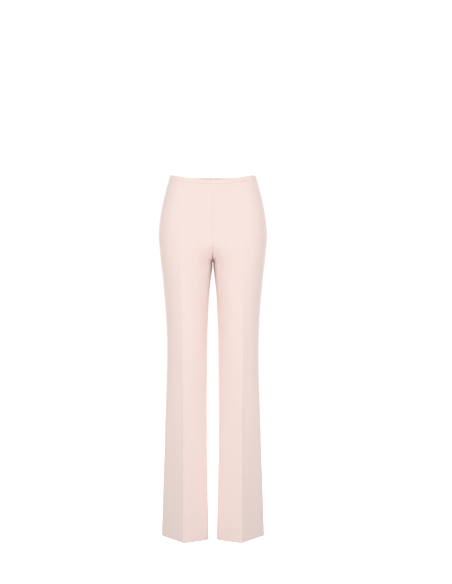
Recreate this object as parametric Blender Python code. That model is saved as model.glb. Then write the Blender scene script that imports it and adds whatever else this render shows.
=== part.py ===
"""Flared palazzo pants, hollow as they are worn, cut and sewn from named panels.

Metres, +Z up, the wearer faces -Y and the wearer's left is +X. The origin is the
middle of the waist: the top edge meets both side seams at Z = 0. Each leg is a stack
of level rings. A ring is made of four curved quarters between the front crease, the
side, the back crease and the inner leg or centre seam. All four panels are stretches
of these rings, so that neighbours follow each other at every seam.
"""

import math
from collections import namedtuple

import bmesh
import bpy
import numpy as np
from mathutils import Matrix

MM = 0.001

# Overall sizes, in millimetres below the top edge at the side seams.
BAND_HEIGHT = 14.0
FORK_DROP = 263.0
HEM_DROP = 1112.0

# The cloth and the gaps between pieces, in millimetres.
CLOTH_WALL = 1.5
SEAM_GAP = 0.3
THINNEST_SLOPE = 0.6  # the share of a wall's normal that is level, at the least

# The waist's top edge dips by this at the centre front, and the dip has gone lower down.
FRONT_DIP = 18.0
DIP_FADES_BY = 150.0

# Seams: the share of the leg's outer and inner halves that the front panel takes.
SIDE_SHARE = 0.5
INSEAM_SHARE = 0.46
INSEAM_SETTLES = 200.0  # how far below the fork the inseam has moved to its share

# Crotch: the legs' tubes run up into each other and are cut off at the centre plane.
# Between these drops the panels change over from a flat centre to that cut.
TUBES_BEGIN = 190.0
TUBES_RULE = 245.0
ROUNDNESS = 0.72  # a quarter's handle, as a share of the way to its tangents' crossing

# One row for each level ring of the wearer's left leg, sizes in mm, angles in degrees.
# A turn leans a crease's tangent towards the side, and a fold is half of its pressed
# edge: 0 is smooth, 45 a right-angled edge.
Section = namedtuple(
    "Section",
    "drop front_x front_y front_turn front_fold side_x side_y "
    "back_x back_y back_turn back_fold",
)
SECTIONS = [
    Section(*row)
    for row in (
        (0, 90.0, -70.0, 22, 0, 131.5, 3, 85, 80, 24, 0),
        (50, 94.0, -79.0, 18, 0, 145.7, 6, 88, 93, 20, 0),
        (100, 97.5, -87.0, 13, 0, 157.3, 10, 92, 108, 15, 0),
        (150, 99.5, -93.5, 9, 0, 164.8, 13, 95, 124, 8, 0),
        (190, 99.8, -97.5, 7, 4, 166.6, 14, 97, 134, 2, 1),
        (222, 99.2, -99.5, 7, 7, 164.4, 14, 97, 135, 0, 2),
        (263, 97.0, -101.0, 7.5, 9.5, 160.4, 12, 96, 131, -2, 4),
        (300, 95.0, -101.5, 8, 11, 155.7, 9, 95, 126, -2, 6),
        (350, 92.8, -101.0, 10, 14, 150.8, 5, 94, 118, -2, 9),
        (420, 91.0, -99.5, 11.5, 16.5, 144.7, 0, 92.5, 108, -2, 13),
        (500, 90.0, -97.5, 12.5, 19.5, 140.7, -6, 91, 99, -1, 18),
        (600, 89.0, -96.0, 12, 27, 140.4, -16, 90, 92, 0, 26),
        (700, 88.0, -96.0, 11, 33, 143.3, -27, 90, 90, 0, 34),
        (850, 87.5, -99.0, 12.5, 39.5, 149.1, -19, 91, 97, -1, 45),
        (1000, 87.0, -104.0, 13, 44, 154.7, 3, 93, 113, -1, 52),
        (1112, 87.0, -108.0, 13, 47, 158.7, 22, 95, 128, -1, 54),
    )
]

# The innermost point of each leg's tube, in mm. Above the fork it lies past the middle.
Inseam = namedtuple("Inseam", "drop x y")
INSEAMS = [
    Inseam(*row)
    for row in (
        (190, -150.0, 8),
        (205, -95.0, 8),
        (222, -52.0, 8),
        (235, -28.0, 8),
        (245, -15.0, 8),
        (255, -5.5, 8),
        (263, SEAM_GAP / 2, 8),
        (280, 1.9, 2),
        (300, 4.4, -10),
        (350, 10.4, -24),
        (420, 14.5, -32),
        (500, 16.9, -37),
        (600, 18.1, -42),
        (700, 18.3, -45),
        (850, 17.0, -48),
        (1000, 14.3, -46),
        (1112, 12.0, -40),
    )
]

# The centre seams above the crotch: their depth at the waist and at the seat, how fast
# the slope between them dies out, and the drop by which it has.
Centre = namedtuple("Centre", "waist_y seat_y ease seat_drop")
CENTRE_FRONT = Centre(-85.0, -93.5, 2.0, 150.0)
CENTRE_BACK = Centre(98.0, 130.0, 1.6, 190.0)

# Mesh density of the band and the panels, and the least fold that shades as an edge.
BAND_ROWS = 3
UPPER_ROWS = 12
LOWER_ROWS = 18
QUARTER_COLUMNS = 8
CURVE_STEPS = 60
SHARP_FOLD = math.radians(40)

# Concealed zip in the centre back seam, in mm.
ZIP_SLOT = 1.6
TAPE_COLUMNS = 3
TAPE_TOP = 2.5
TAPE_END_DROP = 190.0
TAPE_THICKNESS = 1.0
SLIDER_DROP = 7.0
SLIDER_SIZE = (6.5, 2.4, 9.0)
NECK_THICKNESS = 0.9
NECK_RADIUS = 2.1
EYE_RADIUS = 1.2
PIVOT_STAND_OFF = 1.3  # from the cloth's face to the middle of the eye
PULL_THICKNESS = 1.0
PULL_LENGTH = 19.0
PULL_TOP_WIDTH = 4.2
PULL_END_WIDTH = 5.6
PULL_WINDOW = (1.6, 2.1)
EYE_CUT = 3.6  # length of the bar that cuts the eye, right through the neck
LEAN_STEP = 1.0  # drop over which the centre back seam's lean is taken
ROUND_SIDES = 24

# Finishes: colour, roughness and metallic value.
BLUSH_CREPE = ((0.84, 0.70, 0.65), 0.85, 0.0)
BLUSH_TAPE = ((0.80, 0.66, 0.61), 0.9, 0.0)
BLUSH_ENAMEL = ((0.80, 0.65, 0.60), 0.35, 0.6)


def along_table(rows, column, drop):
    """Smooth value of one column at a drop: cubic pieces that agree in slope."""
    drops = np.array([row.drop for row in rows], float)
    values = np.array([getattr(row, column) for row in rows], float)
    slopes = np.gradient(values, drops)
    low = int(np.clip(np.searchsorted(drops, drop, side="right") - 1, 0, len(drops) - 2))
    span = drops[low + 1] - drops[low]
    t = (drop - drops[low]) / span
    start = values[low] * (1 + 2 * t) * (1 - t) ** 2 + slopes[low] * span * t * (1 - t) ** 2
    end = values[low + 1] * t**2 * (3 - 2 * t) - slopes[low + 1] * span * t**2 * (1 - t)
    return start + end


def section_at(drop):
    """The leg's section at any drop, with angles in radians."""
    values = {name: along_table(SECTIONS, name, drop) for name in Section._fields}
    for angle in ("front_turn", "front_fold", "back_turn", "back_fold"):
        values[angle] = math.radians(values[angle])
    return Section(**values)


def centre_depth(centre, drop):
    """Y of a centre seam above the crotch: a slope that eases out at the seat."""
    left = max(1 - drop / centre.seat_drop, 0)
    return centre.seat_y + (centre.waist_y - centre.seat_y) * left**centre.ease


def smoothstep(value, start, end):
    """0 before start, 1 after end, and a smooth rise between them."""
    t = np.clip((value - start) / (end - start), 0, 1)
    return t * t * (3 - 2 * t)


def cross(a, b):
    """The Z part of the cross product of two level vectors."""
    return a[0] * b[1] - a[1] * b[0]


def quarter(start, start_way, end, end_way):
    """Bezier quarter of a ring, its handles aimed at where the end tangents cross."""
    start = np.array(start)
    end = np.array(end)
    start_way = np.array(start_way)
    end_way = np.array(end_way)
    chord = end - start
    length = np.linalg.norm(chord)
    spread = cross(start_way, end_way)
    from_start = np.clip(cross(chord, end_way) / spread, 0, length)
    from_end = np.clip(cross(chord, start_way) / spread, 0, length)
    handle = start + start_way * from_start * ROUNDNESS
    other = end + end_way * from_end * ROUNDNESS
    t = np.linspace(0, 1, CURVE_STEPS + 1)[:, None]
    rise = 3 * t * (1 - t) ** 2 * handle + 3 * t**2 * (1 - t) * other
    return (1 - t) ** 3 * start + rise + t**3 * end


def way(angle, x_sign, y_sign):
    """Level direction at an angle from the X axis."""
    return (x_sign * math.cos(angle), y_sign * math.sin(angle))


def arc_lengths(points):
    """Distance along a polyline at each of its points."""
    steps = np.linalg.norm(np.diff(points, axis=0), axis=1)
    return np.concatenate([[0.0], np.cumsum(steps)])


def resample(points, crease, seam):
    """Points of a polyline from a crease to a seam, given as distances along it.

    They stand about twice as close at the seam, where the cloth bends round the leg.
    """
    lengths = arc_lengths(points)
    t = np.linspace(0, 1, QUARTER_COLUMNS + 1)
    wanted = crease + (seam - crease) * (t + np.sin(math.pi / 2 * t)) / 2
    return np.column_stack([np.interp(wanted, lengths, axis) for axis in points.T])


def flat_depth(crease, crease_way, centre_y, across):
    """Depth from a crease to the centre seam: a cubic that ends level at the seam."""
    span = crease[0] - across[-1]
    t = (crease[0] - across) / span
    slope = -crease_way[1] / crease_way[0]
    settled = crease[1] + (centre_y - crease[1]) * t * t * (3 - 2 * t)
    return settled + slope * span * t * (1 - t) ** 2


def inner_quarter(crease, crease_way, centre, towards, drop):
    """From a crease to the inner leg, or above the fork to the centre seam.

    The tube's quarter ends upright at its innermost point. Above the fork it is cut off
    at the centre plane, and further up it gives way to a face with a flat middle.
    """
    middle = SEAM_GAP / 2
    innermost = (along_table(INSEAMS, "x", drop), along_table(INSEAMS, "y", drop))
    if drop >= FORK_DROP:
        return quarter(crease, crease_way, innermost, (0.0, towards))
    t = np.linspace(0, 1, CURVE_STEPS + 1)
    across = crease[0] + (middle - crease[0]) * np.sin(math.pi / 2 * t)
    depth = flat_depth(crease, crease_way, centre_depth(centre, drop), across)
    tube_share = smoothstep(drop, TUBES_BEGIN, TUBES_RULE)
    if tube_share > 0:
        tube = quarter(crease, crease_way, innermost, (0.0, towards))
        tube_depth = np.interp(-across, -tube[:, 0], tube[:, 1])
        depth = depth + (tube_depth - depth) * tube_share
    return np.column_stack([across, depth])


def ring(drop):
    """One leg's ring, from the inner front edge by the front crease, side and back crease.

    Returns its level points. Above the fork it is open at the centre seams, and from
    there down the first and last points are both the inseam.
    """
    s = section_at(drop)
    front = (s.front_x, s.front_y)
    back = (s.back_x, s.back_y)
    side = (s.side_x, s.side_y)
    front_outer = quarter(
        front, way(s.front_fold + s.front_turn, 1, 1), side, (0.0, -1.0)
    )
    back_outer = quarter(side, (0.0, 1.0), back, way(s.back_fold + s.back_turn, 1, -1))
    outer = np.vstack([front_outer, back_outer[1:]])
    outer_length = arc_lengths(outer)[-1]
    side_seam = outer_length * SIDE_SHARE

    front_way = way(s.front_turn - s.front_fold, -1, -1)
    back_way = way(s.back_turn - s.back_fold, -1, 1)
    front_inner = inner_quarter(front, front_way, CENTRE_FRONT, -1.0, drop)[::-1]
    back_inner = inner_quarter(back, back_way, CENTRE_BACK, 1.0, drop)
    front_length = arc_lengths(front_inner)[-1]
    back_length = arc_lengths(back_inner)[-1]
    if drop > FORK_DROP:
        # The inseam slides from the innermost point to the front panel's share.
        settled = smoothstep(drop, FORK_DROP, FORK_DROP + INSEAM_SETTLES)
        share = (front_length + back_length) * INSEAM_SHARE
        seam = back_length - settled * (share - front_length)
        whole = np.vstack([back_inner, front_inner[1:]])
        back_part = resample(whole, 0, seam)
        front_part = resample(whole, back_length + front_length, seam)
    else:
        back_part = resample(back_inner, 0, back_length)
        front_part = resample(front_inner, front_length, 0)
    parts = [
        front_part[::-1],
        resample(outer, 0, side_seam)[1:],
        resample(outer, outer_length, side_seam)[-2::-1],
        back_part[1:],
    ]
    return np.vstack(parts)


# Columns of a ring where the front panel ends and where the back panel ends.
SIDE_SEAM = 2 * QUARTER_COLUMNS
LAST_COLUMN = 4 * QUARTER_COLUMNS


def level_tangents(points, closed):
    """Unit tangents before and after each column of one ring."""
    steps = np.diff(points, axis=0)
    steps /= np.linalg.norm(steps, axis=1)[:, None]
    first = steps[-1] if closed else steps[0]
    last = steps[0] if closed else steps[-1]
    return np.vstack([first, steps]), np.vstack([steps, last])


def surface(drops):
    """The left leg's outer face and the inward step to its inner face, in mm.

    The step is level. It is mitred at the creases and lengthened where the face leans,
    so that the wall keeps its thickness.
    """
    rows = [ring(drop) for drop in drops]
    points = np.array(rows)
    before = np.empty_like(points)
    after = np.empty_like(points)
    for index, drop in enumerate(drops):
        before[index], after[index] = level_tangents(rows[index], drop >= FORK_DROP)
    tangent = before + after
    tangent /= np.linalg.norm(tangent, axis=2)[..., None]
    mitre = np.sum(tangent * before, axis=2)
    inward = np.stack([-tangent[..., 1], tangent[..., 0]], axis=2)
    lean = np.sum(np.gradient(points, drops, axis=0) * inward, axis=2)
    level_share = np.maximum(1 / np.sqrt(1 + lean**2), THINNEST_SLOPE)
    step = inward * (1 / (mitre * level_share))[..., None]

    seam_x = points[:, SIDE_SEAM, 0][:, None]
    dip = np.clip(1 - (points[..., 0] / seam_x) ** 2, 0, 1)
    dip[:, SIDE_SEAM:] = 0
    fade = 1 - smoothstep(np.array(drops), 0, DIP_FADES_BY)
    heights = -np.array(drops)[:, None] - FRONT_DIP * dip * fade[:, None]
    outer = np.concatenate([points, heights[..., None]], axis=2)
    step = np.concatenate([step, np.zeros_like(heights)[..., None]], axis=2)
    tangent = np.concatenate([tangent, np.zeros_like(heights)[..., None]], axis=2)
    return outer, step, tangent


def panel(drops, first, last, edge_x):
    """Outer and inner faces of a stretch of the leg between two columns, in mm."""
    outer, step, tangent = surface(drops)
    outer = outer[:, first : last + 1].copy()
    step = step[:, first : last + 1]
    tangent = tangent[:, first : last + 1]
    half = SEAM_GAP / 2
    below_fork = np.array(drops) >= FORK_DROP
    if first == 0:
        outer[below_fork, 0] += tangent[below_fork, 0] * half
        outer[:, -1] -= tangent[:, -1] * half
    else:
        outer[:, 0] += tangent[:, 0] * half
        outer[below_fork, -1] -= tangent[below_fork, -1] * half
    inner = outer + step * CLOTH_WALL
    outer[..., 0] = np.maximum(outer[..., 0], edge_x)
    inner[..., 0] = np.maximum(inner[..., 0], edge_x)
    return outer, inner


def mirrored(faces):
    """The same pair of faces on the wearer's right, its columns still turning left."""
    flip = np.array([-1.0, 1.0, 1.0])
    return [face[:, ::-1] * flip for face in faces]


def material(name, finish):
    """A plain finish for one piece."""
    colour, roughness, metallic = finish
    made = bpy.data.materials.new(name)
    made.use_nodes = True
    shader = made.node_tree.nodes["Principled BSDF"]
    shader.inputs["Base Color"].default_value = (*colour, 1)
    shader.inputs["Roughness"].default_value = roughness
    shader.inputs["Metallic"].default_value = metallic
    return made


def add_object(name, data, collection, finish):
    """Links a piece to its collection and gives it its finish."""
    piece = bpy.data.objects.new(name, data)
    collection.objects.link(piece)
    data.materials.append(material(name + "_finish", finish))
    return piece


def wall(name, pair, collection, finish):
    """A closed sheet of cloth between an outer and an inner face, given in mm."""
    outer, inner = pair
    rows, columns = outer.shape[:2]
    count = rows * columns
    index = np.arange(count).reshape(rows, columns)

    # Both faces are split along the same diagonals, which keeps the wall even.
    top_left = index[:-1, :-1].ravel()
    low_left = index[1:, :-1].ravel()
    low_right = index[1:, 1:].ravel()
    top_right = index[:-1, 1:].ravel()
    lower = np.stack([top_left, low_left, low_right], axis=1)
    upper = np.stack([top_left, low_right, top_right], axis=1)
    skin = np.vstack([lower, upper])

    # The rim runs once round the sheet's edge, down its first column first.
    rim = np.concatenate(
        [index[:, 0], index[-1, 1:], index[-2::-1, -1], index[0, -2:0:-1]]
    )
    following = np.roll(rim, -1)
    rim_faces = np.stack([rim, rim + count, following + count, following], axis=1)
    faces = skin.tolist() + (skin[:, ::-1] + count).tolist() + rim_faces.tolist()
    vertices = np.vstack([outer.reshape(-1, 3), inner.reshape(-1, 3)]) * MM
    mesh = bpy.data.meshes.new(name)
    mesh.from_pydata(vertices.tolist(), [], faces)
    mesh.shade_smooth()
    mesh.set_sharp_from_angle(angle=SHARP_FOLD)
    return add_object(name, mesh, collection, finish)


def row_drops():
    """Drops of the panels' rows: close together at the fork, where the seams curve."""
    top = BAND_HEIGHT + SEAM_GAP
    upper = np.sin(np.linspace(0, math.pi / 2, UPPER_ROWS))
    lower = 1 - np.cos(np.linspace(0, math.pi / 2, LOWER_ROWS + 1)[1:])
    above = top + (FORK_DROP - top) * upper
    below = FORK_DROP + (HEM_DROP - FORK_DROP) * lower
    return np.concatenate([above, below])


def build_panels(collection):
    """Two fronts and two backs, each from the waist seam to the hem."""
    drops = row_drops()
    half = SEAM_GAP / 2
    front = panel(drops, 0, SIDE_SEAM, half)
    back = panel(drops, SIDE_SEAM, LAST_COLUMN, half)
    wall("front_left", front, collection, BLUSH_CREPE)
    wall("front_right", mirrored(front), collection, BLUSH_CREPE)
    wall("back_left", back, collection, BLUSH_CREPE)
    wall("back_right", mirrored(back), collection, BLUSH_CREPE)


def build_waistband(collection):
    """A narrow band: one piece across the front and two that meet at the back zip."""
    drops = np.linspace(0, BAND_HEIGHT, BAND_ROWS)
    left = panel(drops, 0, SIDE_SEAM, 0.0)
    right = mirrored(left)
    whole = [np.hstack([r[:, :-1], face]) for r, face in zip(right, left)]
    for face in whole:
        face[:, SIDE_SEAM, 0] = 0.0
    wall("waistband_front", whole, collection, BLUSH_CREPE)
    back = panel(drops, SIDE_SEAM, LAST_COLUMN, ZIP_SLOT / 2)
    wall("waistband_back_left", back, collection, BLUSH_CREPE)
    wall("waistband_back_right", mirrored(back), collection, BLUSH_CREPE)


def centre_back_line(drop):
    """Depth of the centre back seam and how much it leans out going down, in radians."""
    depth = centre_depth(CENTRE_BACK, drop)
    below = centre_depth(CENTRE_BACK, drop + LEAN_STEP)
    return depth, math.atan2(below - depth, LEAN_STEP)


def build_zip_tapes(collection):
    """Two tapes behind the centre back seam, with a slot for the teeth between them.

    Each is the back panel's last columns, moved in past the panel's wall.
    """
    drops = row_drops()
    drops = np.concatenate([[TAPE_TOP, BAND_HEIGHT / 2], drops[drops < TAPE_END_DROP]])
    outer, step, _ = surface(drops)
    strip = outer[:, -TAPE_COLUMNS:]
    edge = strip[:, -1].copy()
    towards = strip[:, -2] - edge
    edge += towards * ((ZIP_SLOT / 2 - edge[:, 0]) / towards[:, 0])[:, None]
    strip[:, -1] = edge
    faces = []
    for depth in (CLOTH_WALL + SEAM_GAP, CLOTH_WALL + SEAM_GAP + TAPE_THICKNESS):
        face = strip + step[:, -TAPE_COLUMNS:] * depth
        face[:, -1, 0] = np.maximum(face[:, -1, 0], ZIP_SLOT / 2)
        faces.append(face)
    wall("zip_tape_left", faces, collection, BLUSH_TAPE)
    wall("zip_tape_right", mirrored(faces), collection, BLUSH_TAPE)


def cylinder(name, radius, depth, collection):
    """A round bar along X, its middle at the object's origin, sizes in mm."""
    mesh = bpy.data.meshes.new(name)
    work = bmesh.new()
    bmesh.ops.create_cone(
        work,
        cap_ends=True,
        segments=ROUND_SIDES,
        radius1=radius * MM,
        radius2=radius * MM,
        depth=depth * MM,
    )
    quarter_turn = Matrix.Rotation(math.pi / 2, 3, "Y")
    bmesh.ops.rotate(work, verts=work.verts, matrix=quarter_turn)
    work.to_mesh(mesh)
    work.free()
    made = bpy.data.objects.new(name, mesh)
    collection.objects.link(made)
    return made


def block(name, size, offset, collection):
    """A box of a size, moved off its object's origin, both in mm."""
    mesh = bpy.data.meshes.new(name)
    work = bmesh.new()
    bmesh.ops.create_cube(work, size=MM)
    bmesh.ops.scale(work, verts=work.verts, vec=size)
    bmesh.ops.translate(work, verts=work.verts, vec=[part * MM for part in offset])
    work.to_mesh(mesh)
    work.free()
    made = bpy.data.objects.new(name, mesh)
    collection.objects.link(made)
    return made


def boolean(piece, operation, other):
    """Joins or cuts a piece with another object."""
    modifier = piece.modifiers.new(operation.lower() + "_" + other.name, "BOOLEAN")
    modifier.operation = operation
    modifier.object = other
    modifier.solver = "EXACT"
    other.hide_render = True
    other.display_type = "WIRE"


def build_zip_slider(pivot, lean, parts, cutters):
    """The slider's body inside the seam, and its neck with the eye for the pull."""
    width, depth, height = SLIDER_SIZE
    to_body = PIVOT_STAND_OFF + CLOTH_WALL + TAPE_THICKNESS + 2 * SEAM_GAP
    slider = block("zip_slider", SLIDER_SIZE, (0, -to_body - depth / 2, 0), parts)
    slider.data.materials.append(material("zip_slider_finish", BLUSH_ENAMEL))
    reach = to_body + depth / 2
    stem_size = (NECK_THICKNESS, reach, 2 * NECK_RADIUS)
    stem = block("zip_neck_stem", stem_size, (0, -reach / 2, 0), cutters)
    head = cylinder("zip_neck_head", NECK_RADIUS, NECK_THICKNESS, cutters)
    eye = cylinder("zip_neck_eye", EYE_RADIUS, EYE_CUT, cutters)
    for piece in (slider, stem, head, eye):
        piece.location = pivot
        piece.rotation_euler = (lean, 0, 0)
    boolean(slider, "UNION", stem)
    boolean(slider, "UNION", head)
    boolean(slider, "DIFFERENCE", eye)


def pull_outline():
    """Drop-shaped outline in mm, hanging down from the pivot at its origin."""
    top_radius = PULL_TOP_WIDTH / 2
    end_radius = PULL_END_WIDTH / 2
    end_y = -(PULL_LENGTH - end_radius)
    square_top = PULL_THICKNESS / 2
    points = [(top_radius, square_top), (-top_radius, square_top)]
    for angle in np.linspace(math.pi, 2 * math.pi, ROUND_SIDES // 2 + 1):
        x = end_radius * math.cos(angle)
        points.append((x, end_y + end_radius * math.sin(angle)))
    return points


def pull_window():
    """The window that the slider's neck stands in, just below the pull's top bar."""
    half = PULL_WINDOW[0] / 2
    top = -PULL_THICKNESS / 2
    bottom = top - PULL_WINDOW[1]
    return [(-half, top), (-half, bottom), (half, bottom), (half, top)]


def build_zip_pull(pivot, lean, collection):
    """A flat tab that swings on the slider's eye, its origin on that pivot."""
    curve = bpy.data.curves.new("zip_pull", "CURVE")
    curve.dimensions = "2D"
    curve.fill_mode = "BOTH"
    curve.extrude = PULL_THICKNESS / 2 * MM
    for outline in (pull_outline(), pull_window()):
        spline = curve.splines.new("POLY")
        spline.points.add(len(outline) - 1)
        for point, (x, y) in zip(spline.points, outline):
            point.co = (x * MM, y * MM, 0, 1)
        spline.use_cyclic_u = True
    pull = add_object("zip_pull", curve, collection, BLUSH_ENAMEL)
    pull.location = pivot
    pull.rotation_euler = (math.pi / 2 + lean, 0, 0)


def build_zip(parts, cutters):
    """Tapes, slider and pull of the concealed zip at the centre back."""
    build_zip_tapes(parts)
    depth, lean = centre_back_line(SLIDER_DROP)
    out_y = depth + PIVOT_STAND_OFF * math.cos(lean)
    out_z = -SLIDER_DROP + PIVOT_STAND_OFF * math.sin(lean)
    pivot = (0.0, out_y * MM, out_z * MM)
    build_zip_slider(pivot, lean, parts, cutters)
    build_zip_pull(pivot, lean, parts)


def main():
    for thing in list(bpy.data.objects):
        bpy.data.objects.remove(thing, do_unlink=True)
    parts = bpy.data.collections.new("palazzo_pants")
    cutters = bpy.data.collections.new("cutters")
    bpy.context.scene.collection.children.link(parts)
    bpy.context.scene.collection.children.link(cutters)
    build_panels(parts)
    build_waistband(parts)
    build_zip(parts, cutters)


main()
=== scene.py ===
"""Looks of the flared palazzo pants: crepe panels, waistband, concealed zip and stage.

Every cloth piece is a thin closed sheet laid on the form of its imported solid. Lengths in
the shape functions are in millimetres; a piece turns into metres when its mesh is made.
The wearer faces -Y, the wearer's left is +X, and the waist at the side seams is Z = 0.
"""

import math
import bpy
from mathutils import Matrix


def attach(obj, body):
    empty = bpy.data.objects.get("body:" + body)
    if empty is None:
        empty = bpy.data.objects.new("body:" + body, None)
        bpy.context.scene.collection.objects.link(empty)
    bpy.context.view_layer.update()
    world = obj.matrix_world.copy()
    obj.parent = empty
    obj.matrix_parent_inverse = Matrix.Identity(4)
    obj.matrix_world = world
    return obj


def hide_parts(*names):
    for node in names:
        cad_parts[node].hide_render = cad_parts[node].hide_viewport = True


bl_info = {
    "name": "Palazzo pants",
    "version": (1, 0, 0),
    "blender": (4, 5, 0),
    "location": "3D View > Sidebar > Palazzo pants",
    "description": "Makes the cloth, zip and stage of a pair of flared palazzo pants",
    "category": "Add Mesh",
}

import bmesh
import bpy
import numpy as np
from bpy.props import FloatProperty, FloatVectorProperty, PointerProperty
from bpy.types import Operator, Panel, PropertyGroup

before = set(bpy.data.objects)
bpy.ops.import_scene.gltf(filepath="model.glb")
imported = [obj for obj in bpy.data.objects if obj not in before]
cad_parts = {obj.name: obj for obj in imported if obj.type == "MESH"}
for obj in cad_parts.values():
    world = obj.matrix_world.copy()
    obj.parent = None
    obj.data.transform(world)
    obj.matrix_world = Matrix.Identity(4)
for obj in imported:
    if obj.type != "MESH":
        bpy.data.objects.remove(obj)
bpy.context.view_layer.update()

# Metres in a millimetre, and the scale that turns cloth coordinates into millimetres.
MM = 0.001
IN_MM = (1000.0, 1000.0, 0.0)

# Drops are millimetres below the top edge at the side seams.
BAND_HEIGHT = 14.0
FORK_DROP = 263.0
HEM_DROP = 1112.0
FRONT_DIP = 18.0
DIP_FADES_BY = 150.0
SIDE_SHARE = 0.5
INSEAM_SHARE = 0.46
INSEAM_SETTLES = 200.0
TUBES_BEGIN = 190.0
TUBES_RULE = 245.0
ROUNDNESS = 0.72
SEAM_HALF = 0.02
CLOSING_REACH = 5.0
ZIP_SLOT = 1.6
ZIP_END_DROP = 190.0


def table(columns, rows):
    """Columns of numbers by name; the first, the drop, grows down the garment."""
    return dict(zip(columns.split(), np.array(rows, float).T))


# The wearer's left leg, a row for each level section: creases, side and back in mm,
# turns and half folds of the pressed edges in degrees.
SECTIONS = table(
    "drop front_x front_y front_turn front_fold side_x side_y "
    "back_x back_y back_turn back_fold",
    [
        (0, 90.0, -70.0, 22, 0, 131.5, 3, 85, 80, 24, 0),
        (50, 94.0, -79.0, 18, 0, 145.7, 6, 88, 93, 20, 0),
        (100, 97.5, -87.0, 13, 0, 157.3, 10, 92, 108, 15, 0),
        (150, 99.5, -93.5, 9, 0, 164.8, 13, 95, 124, 8, 0),
        (190, 99.8, -97.5, 7, 4, 166.6, 14, 97, 134, 2, 1),
        (222, 99.2, -99.5, 7, 7, 164.4, 14, 97, 135, 0, 2),
        (263, 97.0, -101.0, 7.5, 9.5, 160.4, 12, 96, 131, -2, 4),
        (300, 95.0, -101.5, 8, 11, 155.7, 9, 95, 126, -2, 6),
        (350, 92.8, -101.0, 10, 14, 150.8, 5, 94, 118, -2, 9),
        (420, 91.0, -99.5, 11.5, 16.5, 144.7, 0, 92.5, 108, -2, 13),
        (500, 90.0, -97.5, 12.5, 19.5, 140.7, -6, 91, 99, -1, 18),
        (600, 89.0, -96.0, 12, 27, 140.4, -16, 90, 92, 0, 26),
        (700, 88.0, -96.0, 11, 33, 143.3, -27, 90, 90, 0, 34),
        (850, 87.5, -99.0, 12.5, 39.5, 149.1, -19, 91, 97, -1, 45),
        (1000, 87.0, -104.0, 13, 44, 154.7, 3, 93, 113, -1, 52),
        (1112, 87.0, -108.0, 13, 47, 158.7, 22, 95, 128, -1, 54),
    ],
)

# The innermost point of the leg's tube; above the fork it lies past the middle.
INSEAMS = table(
    "drop x y",
    [
        (190, -150.0, 8),
        (205, -95.0, 8),
        (222, -52.0, 8),
        (235, -28.0, 8),
        (245, -15.0, 8),
        (255, -5.5, 8),
        (263, SEAM_HALF, 8),
        (280, 1.9, 2),
        (300, 4.4, -10),
        (350, 10.4, -24),
        (420, 14.5, -32),
        (500, 16.9, -37),
        (600, 18.1, -42),
        (700, 18.3, -45),
        (850, 17.0, -48),
        (1000, 14.3, -46),
        (1112, 12.0, -40),
    ],
)

# Centre seams above the crotch: depth at the waist and at the seat, how fast the slope
# between them dies out, and the drop by which it has.
CENTRE_FRONT = (-85.0, -93.5, 2.0, 150.0)
CENTRE_BACK = (98.0, 130.0, 1.6, 190.0)

# Mesh density.
CURVE_STEPS = 240
SIDE_COLUMNS = 36
COLUMN_CROWDING = 0.75
UPPER_ROWS = 90
LOWER_ROWS = 190
LOWER_ROW_POWER = 1.3
BEND_STEPS = 6
TURN_STEPS = 5
HEM_STEPS = 12
SHORT_TURN_STEPS = 2
BAND_END_STEPS = 3
BAND_OUTSIDE_ROWS = 9
BAND_INSIDE_ROWS = 7
TAPE_COLUMNS = 15
FLOOR_CORNERS = 96

# Half the distance over which a slope is read, and the least steps that count, in mm.
NEAR = 0.5
LEAST_STEP = 1e-7
LEAST_DEPTH = 1e-6
LEAST_LENGTH = 1e-12

# Least angle of an edge that stays sharp, most between faces that become one, and least
# of an edge that is rounded. Points closer than the weld's distance in metres are one.
SHARP_ANGLE = math.radians(60)
FLAT_ANGLE = math.radians(3)
BEVEL_ANGLE = math.radians(35)
WELD_DISTANCE = 0.00002

# Turned edges: the bend's radius as a share of half the cloth, and the widths in mm of
# the short strips at the waist seam and at the bands' ends.
PANEL_BEND = 1.08
BAND_BEND = 1.05
WAIST_TURN = 6.0
BAND_SEAM_TURN = 5.0
BAND_END_TURN = 6.0
FACING_SLACK = 0.1
FACING_SHORT_BY = 0.4

# How soft the pressed edges are, in mm, and the drops at which the ridge and the shine
# of a press begin: on the front for True, on the back for False.
CREASE_ROUND = 1.3
CREASE_ROUND_REACH = 6.0
KERNEL = np.linspace(-1.0, 1.0, 9)
RIDGE_BEGINS = {True: 110, False: 270}
RIDGE_GROWS_OVER = 160
RIDGE_WIDTH = 3.6
RIDGE_TIP = 0.6
RIDGE_SHARE_AT_WAIST = 0.55
SHINE_BEGINS = {True: 120, False: 280}
SHINE_FULL_BY = 330
SHINE_WIDTH = 2.0

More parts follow.
